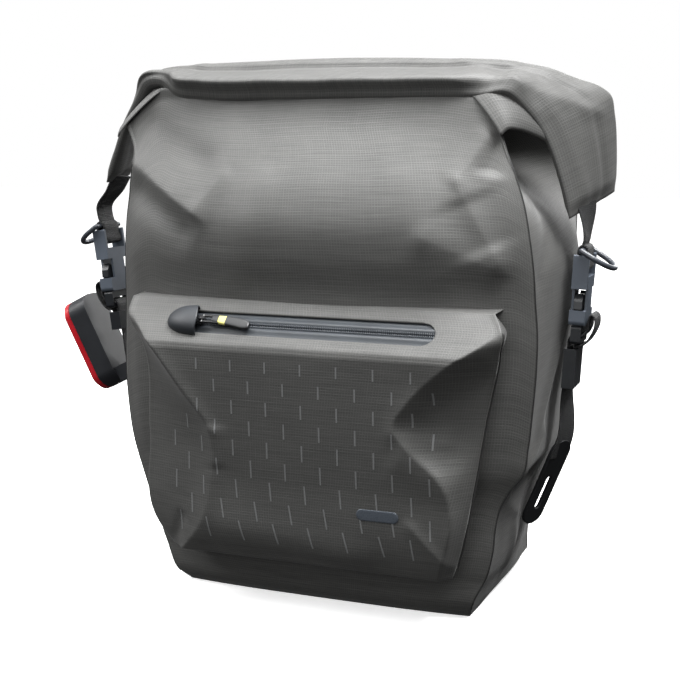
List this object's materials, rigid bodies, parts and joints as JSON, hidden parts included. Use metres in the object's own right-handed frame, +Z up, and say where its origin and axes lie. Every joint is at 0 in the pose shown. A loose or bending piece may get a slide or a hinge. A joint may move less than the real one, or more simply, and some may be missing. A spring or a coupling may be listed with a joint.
{
  "type": "pannier bag",
  "caption": "Roll-top bicycle pannier with a zipped front pocket, side buckles, D-rings, a clip-on rear light and sliding rack hooks.",
  "frame": {"origin": "centre of the base, on the face the bag stands on", "axes": "+X to the right of a person facing the pocket, +Y towards the bicycle, +Z up"},
  "size_m": [0.4424, 0.2305, 0.3889],
  "materials": {
    "coated_fabric": "matt coated ripstop",
    "base_fabric": "matt coated",
    "board_plastic": "matt",
    "zip_tape": "coated tape",
    "zip_plastic": "satin",
    "pull_tab": "matt with a yellow bar",
    "dark_trim": "matt coated",
    "reflective": "retro-reflective print",
    "webbing": "woven polyester",
    "ring_plastic": "satin acetal",
    "buckle_grey": "satin acetal",
    "buckle_dark": "satin acetal",
    "light_black": "fine texture",
    "red_lens": "moulded, translucent",
    "seal_rubber": "matt",
    "battery_wrap": "shrink film",
    "board_green": "solder mask",
    "rail_plastic": "fine texture",
    "insert_plastic": "satin",
    "steel": "zinc plated"
  },
  "bodies": {
    "bag": {"front_panel": "coated_fabric", "side_gusset_left": "coated_fabric", "side_gusset_right": "coated_fabric", "base_panel": "base_fabric", "back_panel": "coated_fabric", "stiffener_board": "board_plastic", "roll_top": "coated_fabric", "roll_stiffener": "board_plastic", "pocket_shell": "coated_fabric", "zip_tape_upper": "zip_tape", "zip_tape_lower": "zip_tape", "zip_teeth_upper": "zip_plastic", "zip_teeth_lower": "zip_plastic", "zip_garage": "dark_trim", "reflective_patch": "reflective", "roll_strap_left": "webbing", "roll_strap_right": "webbing", "buckle_socket_left": "buckle_grey", "buckle_socket_right": "buckle_grey", "side_strap_left": "webbing", "side_strap_right": "webbing", "strap_anchor_left": "dark_trim", "strap_anchor_right": "dark_trim", "light_housing": "light_black", "light_lens": "red_lens", "light_seal": "seal_rubber", "light_clip": "light_black", "light_battery": "battery_wrap", "light_board": "board_green", "mount_rail": "rail_plastic", "rail_screws": "steel", "rail_nuts": "steel", "handle_mounts": "rail_plastic", "lower_rail": "rail_plastic", "stay_hook_bolt": "steel"},
    "zip_slider": {"zip_slider": "zip_plastic"},
    "zip_puller": {"zip_puller": "zip_plastic", "zip_pull_tab": "pull_tab"},
    "d_ring_left": {"d_ring_left": "ring_plastic"},
    "d_ring_right": {"d_ring_right": "ring_plastic"},
    "plug_left": {"buckle_plug_left": "buckle_dark", "buckle_prongs_left": "buckle_dark", "strap_keeper_left": "dark_trim", "strap_tail_left": "webbing"},
    "plug_right": {"buckle_plug_right": "buckle_dark", "buckle_prongs_right": "buckle_dark", "strap_keeper_right": "dark_trim", "strap_tail_right": "webbing"},
    "light_button": {"light_button": "light_black"},
    "hook_left": {"hook_left": "rail_plastic", "hook_insert_left": "insert_plastic", "latch_pin_left": "steel"},
    "hook_right": {"hook_right": "rail_plastic", "hook_insert_right": "insert_plastic", "latch_pin_right": "steel"},
    "latch_left": {"latch_left": "rail_plastic"},
    "latch_right": {"latch_right": "rail_plastic"},
    "carry_handle": {"carry_handle": "webbing"},
    "stay_hook": {"stay_hook": "rail_plastic"}
  },
  "joints": [
    {"name": "zip_open", "type": "slide", "parent": "bag", "child": "zip_slider", "axis": [1, 0, 0], "range_m": [0, 0.158]},
    {"name": "puller_lift", "type": "hinge", "parent": "zip_slider", "child": "zip_puller", "pos_m": [-0.0765, -0.10546, 0.20863], "axis": [0, -0.7311, -0.6823], "range_deg": [0, 90]},
    {"name": "d_ring_left_swing", "type": "hinge", "parent": "bag", "child": "d_ring_left", "pos_m": [-0.211, -0.008, 0.264], "axis": [0, 1, 0], "range_deg": [-20, 80]},
    {"name": "d_ring_right_swing", "type": "hinge", "parent": "bag", "child": "d_ring_right", "pos_m": [0.172, -0.008, 0.257], "axis": [0, -1, 0], "range_deg": [-20, 80]},
    {"name": "buckle_left_release", "type": "slide", "parent": "bag", "child": "plug_left", "axis": [0.1392, 0, -0.9903], "range_m": [0, 0.0235], "deforming": ["side_strap_left", "buckle_prongs_left"]},
    {"name": "buckle_right_release", "type": "slide", "parent": "bag", "child": "plug_right", "axis": [-0.0523, 0, -0.9986], "range_m": [0, 0.0235], "deforming": ["side_strap_right", "buckle_prongs_right"]},
    {"name": "light_press", "type": "slide", "parent": "bag", "child": "light_button", "axis": [0.891, 0, 0.454], "range_m": [0, 0.0008], "stiffness_N_per_m": 600, "springref_m": -0.0005},
    {"name": "hook_left_slide", "type": "slide", "parent": "bag", "child": "hook_left", "axis": [1, 0, 0], "range_m": [-0.016, 0.016]},
    {"name": "hook_right_slide", "type": "slide", "parent": "bag", "child": "hook_right", "axis": [1, 0, 0], "range_m": [-0.016, 0.016]},
    {"name": "latch_left_open", "type": "hinge", "parent": "hook_left", "child": "latch_left", "pos_m": [-0.07, 0.095, 0.248], "axis": [-1, 0, 0], "range_deg": [0, 40], "stiffness_Nm_per_rad": 0.05, "springref_deg": -17.19},
    {"name": "latch_right_open", "type": "hinge", "parent": "hook_right", "child": "latch_right", "pos_m": [0.07, 0.095, 0.248], "axis": [-1, 0, 0], "range_deg": [0, 40], "stiffness_Nm_per_rad": 0.05, "springref_deg": -17.19},
    {"name": "handle_swing", "type": "hinge", "parent": "bag", "child": "carry_handle", "pos_m": [0, 0.08, 0.294], "axis": [-1, 0, 0], "range_deg": [0, 80]},
    {"name": "stay_hook_turn", "type": "hinge", "parent": "bag", "child": "stay_hook", "pos_m": [0, 0.0822, 0.07], "axis": [0, 1, 0], "range_deg": [-90, 90]}
  ]
}
